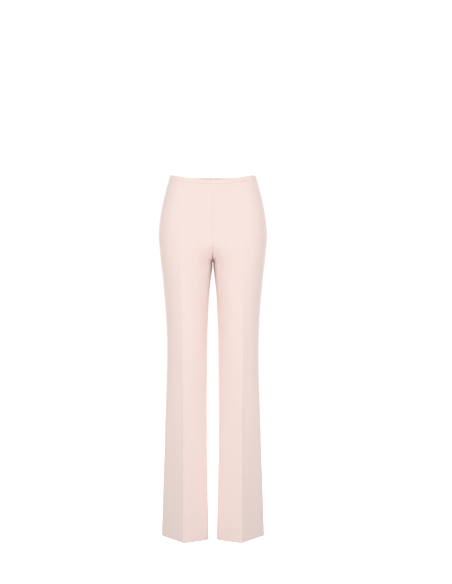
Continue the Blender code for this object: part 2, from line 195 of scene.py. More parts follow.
# Soft folds as (start drop, start across, end drop, end across, width, height), in mm.
# Across is measured from the crease, positive towards the side seam.
FRONT_FOLDS_LEFT = (
    (186, -20, 236, -60, 9.0, -1.5),
    (212, -30, 256, -84, 8.0, 0.7),
    (268, -96, 296, -54, 8.0, -1.3),
    (292, -84, 352, -46, 12.0, 0.6),
    (600, 34, 1000, 40, 17.0, 0.9),
    (520, -44, 640, -50, 18.0, -0.7),
    (560, 26, 760, 18, 13.0, -0.5),
)
FRONT_FOLDS_RIGHT = (
    (188, -22, 238, -58, 9.0, -1.4),
    (214, -33, 254, -80, 8.5, 0.6),
    (267, -95, 298, -56, 8.0, -1.4),
    (296, -82, 346, -44, 12.0, 0.6),
    (620, 36, 985, 38, 17.0, 0.9),
    (530, -46, 650, -48, 18.0, -0.7),
    (575, 24, 740, 20, 13.0, -0.5),
)
BACK_FOLDS_LEFT = (
    (246, 12, 268, -66, 9.0, -1.6),
    (276, 26, 300, -56, 11.0, -1.2),
    (262, 30, 284, -44, 10.0, 0.8),
    (330, -70, 420, -34, 13.0, -0.8),
    (560, 30, 1010, 36, 18.0, 0.8),
    (470, -40, 640, -46, 20.0, -0.8),
)
BACK_FOLDS_RIGHT = (
    (243, 16, 270, -62, 9.5, -1.5),
    (279, 22, 303, -60, 10.0, -1.3),
    (264, 28, 287, -46, 10.0, 0.8),
    (340, -68, 430, -36, 13.0, -0.8),
    (575, 32, 1000, 34, 18.0, 0.8),
    (480, -42, 655, -44, 20.0, -0.8),
)
FOLD_END_SOFTNESS = 0.22

# Panels, left and right: name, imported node, the band it hangs from, folds, and where
# the wave of its pucker starts.
FRONT_PANELS = (
    ("front_panel_left", "front_left", "waistband_front", FRONT_FOLDS_LEFT, 0.4),
    ("front_panel_right", "front_right", "waistband_front", FRONT_FOLDS_RIGHT, 1.3),
)
BACK_PANELS = (
    ("back_panel_left", "back_left", "waistband_back_left", BACK_FOLDS_LEFT, 2.2),
    ("back_panel_right", "back_right", "waistband_back_right", BACK_FOLDS_RIGHT, 0.9),
)

# Small relief of the panels in mm: the pucker's wave, and the back's sewn dart.
RELIEF_FULL_BY = 60
PUCKER_WAVE = 13.0
PUCKER_DRIFT = 1.7
PUCKER_DRIFT_RUN = 61.0
PUCKER_REACH = 6.0
PUCKER_HEIGHT = 0.18
PUCKER_SECOND_PHASE = 2.1
DART_FADES_FROM = 60
DART_END_DROP = 128.0
DART_DEPTH = 0.8
DART_WIDTH = 0.9

# The zip, in mm: each tape's place behind the cloth, and the coil's bars. Under the
# double waistband both lie deeper. A bar's end keeps a share of its squared radius.
TAPE_HALF = 0.3
TAPE_TOP = 2.5
TAPE_WIDTH = 13.0
TAPE_DEPTH = 2.1
TAPE_BAND_DEPTH = 0.75
TAPE_FINE_ROWS = (40, 20)
TAPE_COARSE_ROWS = (42, 60)
BAND_EASES_BY = 22
COIL_PITCH = 1.3
COIL_TOP = 13.0
COIL_STOPS_BEFORE = 4
COIL_DEPTH = 2.9
COIL_BAND_DEPTH = 0.6
COIL_REACH = 0.55
COIL_BAR = (1.25, 0.42, 0.42)
BAR_SIDES = 8
BAR_RINGS = 7
BAR_END_SHARE = 0.02

# How far the slider's and the pull's edges are rounded, in metres.
SLIDER_BEVEL = 0.00022
PULL_BEVEL = 0.0002

# Finishes. Waves are in radians per mm of cloth, but a zigzag's height is in radians. A
# grain is a noise's scale, detail and, where a third number stands, roughness, and a
# stretch is how its cells are drawn out. A relief is its depth in metres and strength.
WEAVE_ACROSS = 9.2
WEAVE_DOWN = 10.4
PEBBLE_GRAIN = (1.25, 2.0, 0.55)
TWIST_GRAIN = (1.0, 2.0, 0.6)
TWIST_STRETCH = (0.9, 0.28, 0.0)
CLOUD_GRAIN = (1.0, 3.0, 0.55)
CLOUD_STRETCH = (14.0, 5.0, 0.0)
TONES_SPREAD = (0.3, 0.7)
CREPE_RELIEF = (0.00012, 0.6)
CREPE_SHEEN = (1.0, 0.93, 0.9)
OVERLOCK_STARTS = (0.80, 0.84)
LOOPS_ACROSS = 2.6
LOOPS_DOWN = 4.2
TAPE_ZIGZAG = 1.5
TAPE_ZIGZAG_HEIGHT = 1.6
TAPE_RIBS = 9.0
TAPE_GRAIN = (3.0, 2.0)
TAPE_RELIEF = (0.00015, 0.7)
COIL_GRAIN = (900.0, 2.0)
COIL_RELIEF = (0.00002, 0.4)
BLOOM_GRAIN = (420.0, 3.0, 0.6)
SPECK_GRAIN = (2600.0, 2.0)
SCUFFS_START = (0.60, 0.72)
SCUFF_COLOUR = (0.86, 0.80, 0.77)
ENAMEL_RELIEF = (0.00003, 0.5)
FLOOR_GRAIN = (1.5, 2.0)
FLOOR_COLOURS = ((0.93, 0.93, 0.93), (0.95, 0.95, 0.95))
WHITE = (1.0, 1.0, 1.0, 1.0)

# Soft lights in pairs: degrees from the front, distance and height in metres, size, and
# the setting that holds each one's power.
SOFT_LIGHTS = (
    (42, 3.25, -0.50, (2.8, 2.0), "front_light"),
    (90, 2.2, -0.3, (0.9, 1.2), "side_light"),
    (158, 3.25, -0.58, (1.5, 2.3), "back_light"),
)
TOP_LIGHT_PLACE = (0.0, 0.0, 1.5)
TOP_LIGHT_SIZE = (1.6, 1.6)
CAMERA_PLACE = (0.0404, -4.1, -0.358)
SENSOR_WIDTH = 36.0
WHITE_AIR = 1.02

# Flat sizes of the cut pieces with their turned edges, in metres: width, length, area.
FRONT_BAND_CUT = (0.38, 0.036, 0.0125)
BACK_BAND_CUT = (0.19, 0.036, 0.0064)


# ---------------------------------------------------------------- shape functions


def smoothstep(value, start, end):
    """0 before start, 1 after end, and 3t^2 - 2t^3 between."""
    t = np.clip((value - start) / (end - start), 0, 1)
    return t * t * (3 - 2 * t)


def along(columns, name, drops):
    """One column of a table at many drops: cubic pieces whose slopes agree at each row."""
    knots = columns["drop"]
    values = columns[name]
    slopes = np.gradient(values, knots)
    low = np.clip(np.searchsorted(knots, drops, side="right") - 1, 0, len(knots) - 2)
    span = knots[low + 1] - knots[low]
    t = (drops - knots[low]) / span
    start = values[low] * (1 + 2 * t) * (1 - t) ** 2
    start = start + slopes[low] * span * t * (1 - t) ** 2
    end = values[low + 1] * t**2 * (3 - 2 * t) - slopes[low + 1] * span * t**2 * (1 - t)
    return start + end


def level(x, y):
    """Pairs of level coordinates, one for each row."""
    return np.stack(np.broadcast_arrays(x, y), axis=-1)


def cross(a, b):
    """The Z part of the cross product of level vectors."""
    return a[..., 0] * b[..., 1] - a[..., 1] * b[..., 0]


def interpolate_rows(at, knots, values):
    """Linear interpolation along every row of a grid at once.

    Each row is shifted into a range of its own, so that one call reads them all.
    """
    at = np.clip(at, knots[:, :1], knots[:, -1:])
    shift = np.arange(len(knots))[:, None] * (np.ptp(knots) + 1.0)
    flat = np.interp((at + shift).ravel(), (knots + shift).ravel(), values.ravel())
    return flat.reshape(at.shape)


def quarter(start, start_way, end, end_way):
    """A cubic curve for each row, between two points with given tangents.

    Each handle lies ROUNDNESS of the way to the crossing of the two tangents.
    """
    chord = end - start
    length = np.linalg.norm(chord, axis=1)
    spread = cross(start_way, end_way)
    from_start = np.clip(cross(chord, end_way) / spread, 0, length)
    from_end = np.clip(cross(chord, start_way) / spread, 0, length)
    handle = start + start_way * (from_start * ROUNDNESS)[:, None]
    other = end + end_way * (from_end * ROUNDNESS)[:, None]
    t = np.linspace(0, 1, CURVE_STEPS + 1)[None, :, None]
    ends = (1 - t) ** 3 * start[:, None] + t**3 * end[:, None]
    rise = 3 * t * (1 - t) ** 2 * handle[:, None] + 3 * t**2 * (1 - t) * other[:, None]
    return ends + rise


def centre_depth(centre, drops):
    """Y of a centre seam: the seat's depth plus a slope that eases out at the seat."""
    waist_y, seat_y, ease, seat_drop = centre
    left = np.clip(1 - drops / seat_drop, 0, 1)
    return seat_y + (waist_y - seat_y) * left**ease


def flat_depths(crease, crease_way, centre_y, across):
    """Depths from a crease to the centre seam: a cubic that ends level at the seam."""
    span = crease[:, :1] - across[:, -1:]
    t = (crease[:, :1] - across) / span
    slope = -crease_way[:, 1:] / crease_way[:, :1]
    depth = crease[:, 1:]
    settled = depth + (centre_y[:, None] - depth) * t * t * (3 - 2 * t)
    return settled + slope * span * t * (1 - t) ** 2


def inner_quarter(crease, crease_way, centre, towards, drops):
    """From a crease to the inner leg, or above the fork to the centre seam.

    The leg's tube ends upright at its innermost point. Above the fork it is cut off at
    the centre plane, and further up it gives way to a face with a flat middle.
    """
    innermost = level(along(INSEAMS, "x", drops), along(INSEAMS, "y", drops))
    upright = level(np.zeros_like(drops), np.full_like(drops, towards))
    tube = quarter(crease, crease_way, innermost, upright)
    t = np.linspace(0, 1, CURVE_STEPS + 1)
    crease_x = crease[:, :1]
    across = crease_x + (SEAM_HALF - crease_x) * np.sin(math.pi / 2 * t)
    flat_depth = flat_depths(crease, crease_way, centre_depth(centre, drops), across)
    tube_depth = interpolate_rows(-across, -tube[..., 0], tube[..., 1])
    share = smoothstep(drops, TUBES_BEGIN, TUBES_RULE)[:, None]
    depth = flat_depth + (tube_depth - flat_depth) * share
    cut = np.stack([across, depth], axis=2)
    return np.where((drops >= FORK_DROP)[:, None, None], tube, cut)


class Leg:
    """Level outlines of the left leg at many drops, read by the distance along them.

    An outline runs from the back crease by the inner leg to the front crease, on by the
    side to the back crease, and by the inner leg once more, so that both panels are
    unbroken stretches of it. Above the fork the inner leg is open at the centre seams.
    """

    def __init__(self, drops):
        self.drops = drops
        s = {name: along(SECTIONS, name, drops) for name in SECTIONS}
        turns = ("front_turn", "front_fold", "back_turn", "back_fold")
        s.update({name: np.radians(s[name]) for name in turns})
        front = level(s["front_x"], s["front_y"])
        back = level(s["back_x"], s["back_y"])
        side = level(s["side_x"], s["side_y"])
        zero = np.zeros_like(drops)
        leave = s["front_fold"] + s["front_turn"]
        arrive = s["back_fold"] + s["back_turn"]
        front_way = level(np.cos(leave), np.sin(leave))
        back_way = level(np.cos(arrive), -np.sin(arrive))
        front_outer = quarter(front, front_way, side, level(zero, -1.0))
        back_outer = quarter(side, level(zero, 1.0), back, back_way)
        leave = s["front_turn"] - s["front_fold"]
        arrive = s["back_turn"] - s["back_fold"]
        front_way = level(-np.cos(leave), -np.sin(leave))
        back_way = level(-np.cos(arrive), np.sin(arrive))
        front_inner = inner_quarter(front, front_way, CENTRE_FRONT, -1.0, drops)[:, ::-1]
        back_inner = inner_quarter(back, back_way, CENTRE_BACK, 1.0, drops)
        self.line = np.concatenate(
            [
                back_inner,
                front_inner,
                front_outer[:, 1:],
                back_outer[:, 1:],
                back_inner[:, 1:],
                front_inner,
            ],
            axis=1,
        )
        steps = np.linalg.norm(np.diff(self.line, axis=1), axis=2) + LEAST_STEP
        start = np.zeros((len(drops), 1))
        self.lengths = np.concatenate([start, np.cumsum(steps, axis=1)], axis=1)
        back_length = self.lengths[:, CURVE_STEPS]
        self.front_crease = self.lengths[:, 2 * CURVE_STEPS + 1]
        self.back_crease = self.lengths[:, 4 * CURVE_STEPS + 1]
        front_length = self.front_crease - self.lengths[:, CURVE_STEPS + 1]
        settled = smoothstep(drops, FORK_DROP, FORK_DROP + INSEAM_SETTLES)
        share = (front_length + back_length) * INSEAM_SHARE
        slide = settled * (share - front_length)
        self.front_edge = self.lengths[:, CURVE_STEPS + 1] - slide
        self.back_edge = self.back_crease + back_length - slide
        outer = self.back_crease - self.front_crease
        self.side = self.front_crease + SIDE_SHARE * outer
        across = self.line[..., 0]
        self.side_x = interpolate_rows(self.side[:, None], self.lengths, across)

    def points(self, stations, front):
        """Points of the outer face at stations, given as distances along each outline.

        Close to a crease a point is the mean of a few neighbours, which rounds the
        pressed edge. The front dips below the level of the side seams.
        """
        crease = (self.front_crease if front else self.back_crease)[:, None]
        near = np.exp(-(((stations - crease) / CREASE_ROUND_REACH) ** 2) / 2)
        spread = stations[None] + KERNEL[:, None, None] * CREASE_ROUND * near
        x = sum(interpolate_rows(at, self.lengths, self.line[..., 0]) for at in spread)
        y = sum(interpolate_rows(at, self.lengths, self.line[..., 1]) for at in spread)
        x = x / len(KERNEL)
        y = y / len(KERNEL)
        drop = np.broadcast_to(self.drops[:, None], x.shape)
        dip = 0.0
        if front:
            rise = np.clip(1 - (x / self.side_x) ** 2, 0, 1)
            dip = FRONT_DIP * rise * (1 - smoothstep(drop, 0, DIP_FADES_BY))
        return np.stack([x, y, -drop - dip], axis=2)


def unit(vectors):
    """Vectors of length one."""
    lengths = np.linalg.norm(vectors, axis=-1, keepdims=True)
    return vectors / np.maximum(lengths, LEAST_LENGTH)


def outer_face(drops, stations, front, from_above=False):
    """Outlines, stations, points and outward normals of a grid on the outer face.

    A normal is the cross product of the steps down and along the face. The step down
    starts at the point itself, or from above as far as it ends below.
    """
    leg = Leg(drops)
    at = stations(leg)
    points = leg.points(at, front)
    sideways = leg.points(at + NEAR, front) - leg.points(at - NEAR, front)
    start = points
    if from_above:
        above = Leg(drops - NEAR)
        start = above.points(stations(above), front)
    below = Leg(drops + NEAR)
    down = below.points(stations(below), front) - start
    return leg, at, points, unit(np.cross(down, sideways))


def turned_edge(half, radius, allowance, steps):
    """The path of cloth that bends back under itself at an edge.

    Gives, for each point of the cloth's middle, its distance from the edge and its depth
    below the outer face: half a circle, and then a straight strip as wide as the
    allowance.
    """
    angle = np.linspace(0, math.pi, BEND_STEPS + 1)
    centre = half + radius
    distance = np.concatenate(
        [centre - radius * np.sin(angle), np.linspace(centre, allowance, steps + 1)[1:]]
    )
    depth = centre - radius * np.cos(angle)
    depth = np.concatenate([depth, np.full(steps, centre + radius)])
    return distance, depth


def crowded(count):
    """Shares from 0 to 1 that stand closer at both ends: t - c sin(2 pi t) / 2 pi."""
    t = np.linspace(0, 1, count + 1)
    return t - COLUMN_CROWDING * np.sin(2 * math.pi * t) / (2 * math.pi)


class Across:
    """Where a panel's columns lie: allowance, turned edge, crease, and the same back.

    Distances are from the crease, negative on the first side.
    """

    def __init__(self, half, radius, first_allowance, last_allowance):
        self.first = turned_edge(half, radius, first_allowance, TURN_STEPS)
        self.last = turned_edge(half, radius, last_allowance, TURN_STEPS)
        self.bend = half + radius
        body = np.full(2 * SIDE_COLUMNS - 1, half)
        self.depth = np.concatenate([self.first[1][::-1], body, self.last[1]])
        self.turned = np.concatenate(
            [
                np.linspace(1, 0, len(self.first[0])),
                np.zeros(len(body)),
                np.linspace(0, 1, len(self.last[0])),
            ]
        )

    def place(self, first_length, last_length):
        """Each row's columns, for its lengths on both sides of the crease."""
        share = crowded(SIDE_COLUMNS)[1:-1]
        first = -first_length[:, None] + self.first[0][::-1]
        last = last_length[:, None] - self.last[0]
        before = -(first_length - self.bend)[:, None] * share[::-1]
        after = (last_length - self.bend)[:, None] * share
        crease = np.zeros((len(first_length), 1))
        return np.concatenate([first, before, crease, after, last], axis=1)


def panel_rows(half, radius, hem_turn):
    """Drops and depths of a panel's rows, from its waist edge to the end of its hem.

    Rows crowd at the fork, where the seams curve. The waist edge turns in under a short
    strip, and the hem turns up inside by the hem's depth.
    """
    top = BAND_HEIGHT + SEAM_HALF
    waist_distance, waist_depth = turned_edge(half, radius, WAIST_TURN, SHORT_TURN_STEPS)
    hem_distance, hem_depth = turned_edge(half, radius, hem_turn, HEM_STEPS)
    start = top + half + radius
    end = HEM_DROP - half - radius
    upper = start + (FORK_DROP - start) * np.sin(np.linspace(0, math.pi / 2, UPPER_ROWS))
    t = np.linspace(0, 1, LOWER_ROWS)
    lower = FORK_DROP + (end - FORK_DROP) * t**LOWER_ROW_POWER
    drops = [top + waist_distance[::-1], upper[1:], lower[1:-1], HEM_DROP - hem_distance]
    body = np.full(len(upper) + len(lower) - 3, half)
    return np.concatenate(drops), np.concatenate([waist_depth[::-1], body, hem_depth])


def fold_height(folds, drop, across):
    """Height of soft folds: each is a bell across a line, faded in and out along it."""
    height = np.zeros_like(across)
    for start_drop, start_across, end_drop, end_across, width, top in folds:
        run = np.array([end_drop - start_drop, end_across - start_across], float)
        length = np.hypot(*run)
        down = drop - start_drop
        over = across - start_across
        t = (down * run[0] + over * run[1]) / length**2
        off = (down * run[1] - over * run[0]) / length
        fade = smoothstep(t, -FOLD_END_SOFTNESS, FOLD_END_SOFTNESS)
        fade = fade * (1 - smoothstep(t, 1 - FOLD_END_SOFTNESS, 1 + FOLD_END_SOFTNESS))
        height += top * fade * np.exp(-((off / width) ** 2))
    return height


def pressed_ridge(across, drop, begins, height):
    """The pinched ridge of a pressed crease: it grows from begins to the hem.

    Away from the crease it dies out as e to the minus distance over width, with the
    distance rounded at the tip.
    """
    lower = RIDGE_SHARE_AT_WAIST + (1 - RIDGE_SHARE_AT_WAIST) * drop / HEM_DROP
    grown = smoothstep(drop, begins, begins + RIDGE_GROWS_OVER) * lower
    return height * grown * np.exp(-np.sqrt(across**2 + RIDGE_TIP) / RIDGE_WIDTH)


def pucker_height(distance, drop, phase):
    """Tiny gathers along a seam: a wave down the seam that dies out away from it."""
    drift = PUCKER_DRIFT * np.sin(drop / PUCKER_DRIFT_RUN)
    wave = np.sin(2 * math.pi * drop / PUCKER_WAVE + phase + drift)
    return PUCKER_HEIGHT * wave * np.exp(-distance / PUCKER_REACH)


def panel_middle(front, folds, cloth, phase):
    """The middle surface of one left panel, with its cloth coordinates and marks.

    A column lies at a distance from the crease and a row at a drop. Each point is the
    outer face there, raised by folds, ridge and pucker, and moved in by its depth. Close
    to the centre seam the cloth is drawn over until it meets the other leg's.
    """
    half = cloth.thickness / MM / 2
    radius = half * PANEL_BEND
    allowance = cloth.allowance / MM
    across = Across(half, radius, allowance, allowance)
    drops, row_depth = panel_rows(half, radius, cloth.hem / MM)

    def stations(at):
        """Distances of the columns along each outline."""
        if front:
            crease, first, last = at.front_crease, at.front_edge, at.side
        else:
            crease, first, last = at.back_crease, at.side, at.back_edge
        return crease[:, None] + across.place(crease - first, last - crease)

    leg, at, points, normal = outer_face(drops, stations, front, from_above=True)
    crease = (leg.front_crease if front else leg.back_crease)[:, None]
    drop = np.broadcast_to(drops[:, None], at.shape)
    from_crease = at - crease
    outwards = from_crease if front else -from_crease
    to_first = from_crease - (from_crease[:, :1] - across.first[0][-1])
    to_last = from_crease[:, -1:] + across.last[0][-1] - from_crease
    height = fold_height(folds, drop, outwards) * cloth.folds
    height += pressed_ridge(from_crease, drop, RIDGE_BEGINS[front], cloth.ridge / MM)
    fade = smoothstep(drop, BAND_HEIGHT, RELIEF_FULL_BY)
    if front:
        height = height * fade
    else:
        dart = DART_DEPTH * (1 - smoothstep(drop, DART_FADES_FROM, DART_END_DROP))
        height -= dart * np.exp(-((from_crease / DART_WIDTH) ** 2))
    for distance, start in ((to_first, phase), (to_last, phase + PUCKER_SECOND_PHASE)):
        height += pucker_height(np.clip(distance, 0, None), drop, start) * fade

    depth = across.depth[None] + row_depth[:, None] - half
    middle = points + normal * (height - depth)[..., None]
    gap = middle[..., 0].min(axis=1, keepdims=True) - half - SEAM_HALF
    gap = np.where(drop <= FORK_DROP, np.clip(gap, 0, None), 0.0)
    to_centre = np.clip(to_first if front else to_last, 0, None)
    middle[..., 0] -= gap * np.exp(-((to_centre / CLOSING_REACH) ** 2))
    middle[..., 0] = np.maximum(middle[..., 0], SEAM_HALF)

    seam_mark = np.maximum(across.turned[None], edge_mark(row_depth, half)[:, None])
    shine = smoothstep(drop, SHINE_BEGINS[front], SHINE_FULL_BY)
    marks = {
        "cut": seam_mark * np.ones_like(drop),
        "pressed": np.exp(-np.abs(from_crease) / SHINE_WIDTH) * shine,
    }
    return Sheet(middle, half, np.stack([from_crease, -drop], axis=2), marks)


def edge_mark(row_depth, half):
    """0 on the outside rows, rising to 1 at the cut edge of the turned rows."""
    turned = row_depth > half + LEAST_DEPTH
    mark = np.zeros_like(row_depth)
    count_top = int(np.argmin(turned))
    mark[:count_top] = np.linspace(1, 0, count_top)
    tail = turned[::-1]
    count_low = int(np.argmin(tail))
    mark[len(mark) - count_low :] = np.linspace(0, 1, count_low)
    return mark


class Sheet:
    """A grid of the cloth's middle with its half thickness, coordinates and marks.

    The marks are numbers for the materials: 1 at a cut edge, and 1 on a pressed crease.
    """

    def __init__(self, middle, half, coordinates, marks=None):
        self.middle = middle
        self.half = half
        self.coordinates = coordinates
        none = np.zeros(middle.shape[:2])
        self.marks = marks or {"cut": none, "pressed": none}

    def mirrored(self):
        """The same sheet on the wearer's right."""
        flip = np.array([-1.0, 1.0, 1.0])
        marks = {name: mark[:, ::-1] for name, mark in self.marks.items()}
        coordinates = self.coordinates[:, ::-1] * np.array([-1.0, 1.0])
        return Sheet(self.middle[:, ::-1] * flip, self.half, coordinates, marks)

    def normals(self):
        """Unit normals from the differences down and along the grid, facing outwards."""
        down = np.gradient(self.middle, axis=0)
        sideways = np.gradient(self.middle, axis=1)
        return unit(np.cross(down, sideways))

    def build(self, name, recipe, keep_side=None):
        """A closed mesh: the middle moved half the thickness both ways, with a rim.

        With keep_side at 1 or -1 every point stays on that side of the centre plane.
        """
        normal = self.normals()
        faces = []
        for way in (1, -1):
            face = self.middle + normal * self.half * way
            if keep_side:
                face[..., 0] = np.maximum(face[..., 0] * keep_side, SEAM_HALF) * keep_side
            faces.append(face)
        rows, columns = self.middle.shape[:2]
        count = rows * columns
        index = np.arange(count).reshape(rows, columns)
        quads = np.stack(
            [index[:-1, :-1], index[1:, :-1], index[1:, 1:], index[:-1, 1:]], axis=2
        ).reshape(-1, 4)
        rim = np.concatenate(
            [index[:, 0], index[-1, 1:], index[-2::-1, -1], index[0, -2:0:-1]]
        )
        after = np.roll(rim, -1)
        rim_quads = np.stack([rim, rim + count, after + count, after], axis=1)
        quads = np.concatenate([quads, quads[:, ::-1] + count, rim_quads])
        vertices = np.concatenate([face.reshape(-1, 3) for face in faces]) * MM
        mesh = bpy.data.meshes.new(name)
        mesh.from_pydata(vertices.tolist(), [], quads.tolist())
        mesh.shade_smooth()
        mesh.set_sharp_from_angle(angle=SHARP_ANGLE)
        grid = np.tile(self.coordinates.reshape(-1, 2), (2, 1)) * MM
        layer = mesh.uv_layers.new(name="cloth")
        layer.data.foreach_set("uv", grid[quads.ravel()].ravel())
        for mark, values in self.marks.items():
            attribute = mesh.attributes.new(mark, "FLOAT", "POINT")
            attribute.data.foreach_set("value", np.tile(values.ravel(), 2))
        mesh.materials.append(recipe)
        return add_piece(name, mesh)


def add_piece(name, mesh):
    """Links a mesh as an object of the scene."""
    piece = bpy.data.objects.new(name, mesh)
    bpy.context.scene.collection.objects.link(piece)
    return piece


def band_rows(half, radius):
    """Drops and depths down the waistband's folded strip.

    It starts at the waist seam's allowance, turns out, runs up the outside, bends over
    the top edge and runs down the inside as a facing.
    """
    seam_distance, seam_depth = turned_edge(
        half, radius, BAND_SEAM_TURN, SHORT_TURN_STEPS
    )
    facing_depth = half + 2 * radius + 2 * half + FACING_SLACK
    top_radius = (facing_depth - half) / 2
    angle = np.linspace(0, math.pi, 2 * BEND_STEPS + 1)
    top_drop = half + top_radius * (1 - np.sin(angle))
    top_depth = half + top_radius * (1 - np.cos(angle))
    top_bend = half + top_radius
    outside = np.linspace(BAND_HEIGHT - half - radius, top_bend, BAND_OUTSIDE_ROWS)[1:-1]
    inside = np.linspace(top_bend, BAND_HEIGHT - FACING_SHORT_BY, BAND_INSIDE_ROWS)[1:]
    drops = [BAND_HEIGHT - seam_distance[::-1], outside, top_drop, inside]
    depths = [
        seam_depth[::-1],
        np.full(len(outside), half),
        top_depth,
        np.full(len(inside), facing_depth),
    ]
    # Rows run from the top down on every sheet, so that the outer face faces outwards.
    return np.concatenate(drops)[::-1], np.concatenate(depths)[::-1]


def band_middle(front, cloth):
    """The middle of the left half of the front band, or of the left back band."""
    half = cloth.band_thickness / MM / 2
    radius = half * BAND_BEND
    drops, row_depth = band_rows(half, radius)
    end_distance, end_depth = turned_edge(half, radius, BAND_END_TURN, BAND_END_STEPS)
    if front:
        depth = np.concatenate([np.full(SIDE_COLUMNS, half), end_depth])
    else:
        body = np.full(SIDE_COLUMNS - 1, half)
        depth = np.concatenate([end_depth[::-1], body, end_depth])

    def stations(at):
        """Distances of the columns along each outline."""
        if front:
            start, end = at.lengths[:, CURVE_STEPS + 1], at.side
            share = np.linspace(0, 1, SIDE_COLUMNS + 1)[:-1]
            body = start[:, None] + (end - start - half - radius)[:, None] * share
            return np.concatenate([body, end[:, None] - end_distance], axis=1)
        start, end = at.side, at.back_edge - ZIP_SLOT / 2
        share = np.linspace(0, 1, SIDE_COLUMNS + 1)[1:-1]
        bend = half + radius
        body = (start + bend)[:, None] + (end - start - 2 * bend)[:, None] * share
        first = start[:, None] + end_distance[::-1]
        return np.concatenate([first, body, end[:, None] - end_distance], axis=1)

    leg, at, points, normal = outer_face(drops, stations, front)
    total = depth[None] + row_depth[:, None] - half
    middle = points - normal * total[..., None]
    if front:
        middle[:, 0, 0] = 0.0
    run = at - leg.side[:, None]
    drop = np.broadcast_to(drops[:, None], at.shape)
    return Sheet(middle, half, np.stack([run, -drop - row_depth[:, None]], axis=2))


# ---------------------------------------------------------------- materials


class Value:
    """A shader socket that takes part in Python expressions as Math nodes."""

    def __init__(self, recipe, socket):
        self.recipe = recipe
        self.socket = socket

    def maths(self, operation, *others):
        """A Math node on this value and others."""
        sockets = dict(enumerate((self, *others)))
        return self.recipe.node("ShaderNodeMath", {"operation": operation}, sockets)

    def __add__(self, other):
        return self.maths("ADD", other)

    def __sub__(self, other):
        return self.maths("SUBTRACT", other)

    def __mul__(self, other):
        return self.maths("MULTIPLY", other)

    def __rsub__(self, other):
        return self.recipe.node(
            "ShaderNodeMath", {"operation": "SUBTRACT"}, {0: other, 1: self}
        )

    __radd__ = __add__
    __rmul__ = __mul__

    def sine(self):
        """The sine of this value, in radians."""
        return self.maths("SINE")

    def ripple(self):
        """The sine of this value, moved to run from 0 to 1."""
        return self.sine() * 0.5 + 0.5

    def clamped(self, low, high):
        """0 at low, 1 at high, and straight between."""
        sockets = {"Value": self, "From Min": low, "From Max": high}
        return self.recipe.node("ShaderNodeMapRange", {"clamp": True}, sockets)


class Recipe:
    """One material and its nodes."""

    def __init__(self, name):
        self.material = bpy.data.materials.new(name)
        self.material.use_nodes = True
        self.tree = self.material.node_tree
        self.shader = self.tree.nodes["Principled BSDF"]

    def node(self, kind, settings=None, sockets=None, output=0):
        """Adds a node: its settings first, then the values or links of its sockets."""
        node = self.tree.nodes.new(kind)
        for name, setting in (settings or {}).items():
            setattr(node, name, setting)
        for key, value in (sockets or {}).items():
            self.feed(node.inputs[key], value)
        return Value(self, node.outputs[output])

    def feed(self, socket, value):
        """Links a value to a socket, or sets the socket to a number or colour."""
        if isinstance(value, Value):
            self.tree.links.new(value.socket, socket)
        else:
            socket.default_value = value

    def finish(self, **sockets):
        """Feeds the shader's own sockets, named with underscores for spaces."""
        for name, value in sockets.items():
            self.feed(self.shader.inputs[name.replace("_", " ")], value)
        return self.material

    def scaled(self, vector, scale):
        """A vector times a vector, part by part."""
        settings = {"operation": "MULTIPLY"}
        return self.node("ShaderNodeVectorMath", settings, {0: vector, 1: scale})

    def noise(self, vector, scale, detail, roughness=0.5):
        """Cloudy noise between 0 and 1."""
        sockets = {
            "Vector": vector,
            "Scale": scale,
            "Detail": detail,
            "Roughness": roughness,
        }
        return self.node("ShaderNodeTexNoise", {}, sockets)

    def mixed(self, factor, first, second):
        """A colour between two colours."""
        settings = {"data_type": "RGBA"}
        return self.node("ShaderNodeMix", settings, {0: factor, 6: first, 7: second}, 2)

    def parts(self, vector):
        """The X and Y of a vector."""
        sockets = {"Vector": vector}
        x = self.node("ShaderNodeSeparateXYZ", {}, sockets)
        return x, Value(self, x.socket.node.outputs[1])

    def mark(self, name):
        """A number that the mesh carries at each point."""
        return self.node("ShaderNodeAttribute", {"attribute_name": name}, {}, 2)

    def bump(self, height, distance, strength):
        """A normal bent by a height; distance is in metres."""
        sockets = {"Height": height, "Distance": distance, "Strength": strength}
        return self.node("ShaderNodeBump", {}, sockets)


def solid(colour):
    """A colour with full opacity."""
    return (*colour, 1.0)


def crepe_material(finish):
    """Blush crepe: a fine pebbled grain over a plain weave, with a dry, soft sheen."""
    recipe = Recipe("blush_crepe")
    place = recipe.node("ShaderNodeUVMap", {"uv_map": "cloth"})
    yarn = recipe.scaled(place, IN_MM)
    run, fall = recipe.parts(yarn)
    weave = (run * WEAVE_ACROSS).sine() * (fall * WEAVE_DOWN).sine()
    pebble = recipe.noise(yarn, *PEBBLE_GRAIN)
    twist = recipe.noise(recipe.scaled(yarn, TWIST_STRETCH), *TWIST_GRAIN)
    slow = recipe.noise(recipe.scaled(place, CLOUD_STRETCH), *CLOUD_GRAIN)
    pressed = recipe.mark("pressed")
    cut = recipe.mark("cut")
    tone = slow * 0.5 + twist * 0.3 + pebble * 0.2
    tint = recipe.mixed(
        tone.clamped(*TONES_SPREAD), solid(finish.crepe_deep), solid(finish.crepe)
    )
    overlock = cut.clamped(*OVERLOCK_STARTS)
    loops = (run * LOOPS_ACROSS + fall * LOOPS_DOWN).ripple()
    # The thread is darker between its loops: painted shade in the hollows, not a second
    # thread colour.
    thread = recipe.mixed(loops, solid(finish.thread_painted_shade), solid(finish.thread))
    tint = recipe.mixed(overlock, tint, thread)
    height = pebble * 0.6 + twist * 0.3 + weave * 0.1 + overlock * loops * 1.2
    return recipe.finish(
        Base_Color=tint,
        Roughness=0.80 + pebble * 0.12 - pressed * 0.07,
        Normal=recipe.bump(height, *CREPE_RELIEF),
        Specular_IOR_Level=0.25,
        Sheen_Weight=0.2,
        Sheen_Roughness=0.45,
        Sheen_Tint=solid(CREPE_SHEEN),
    )


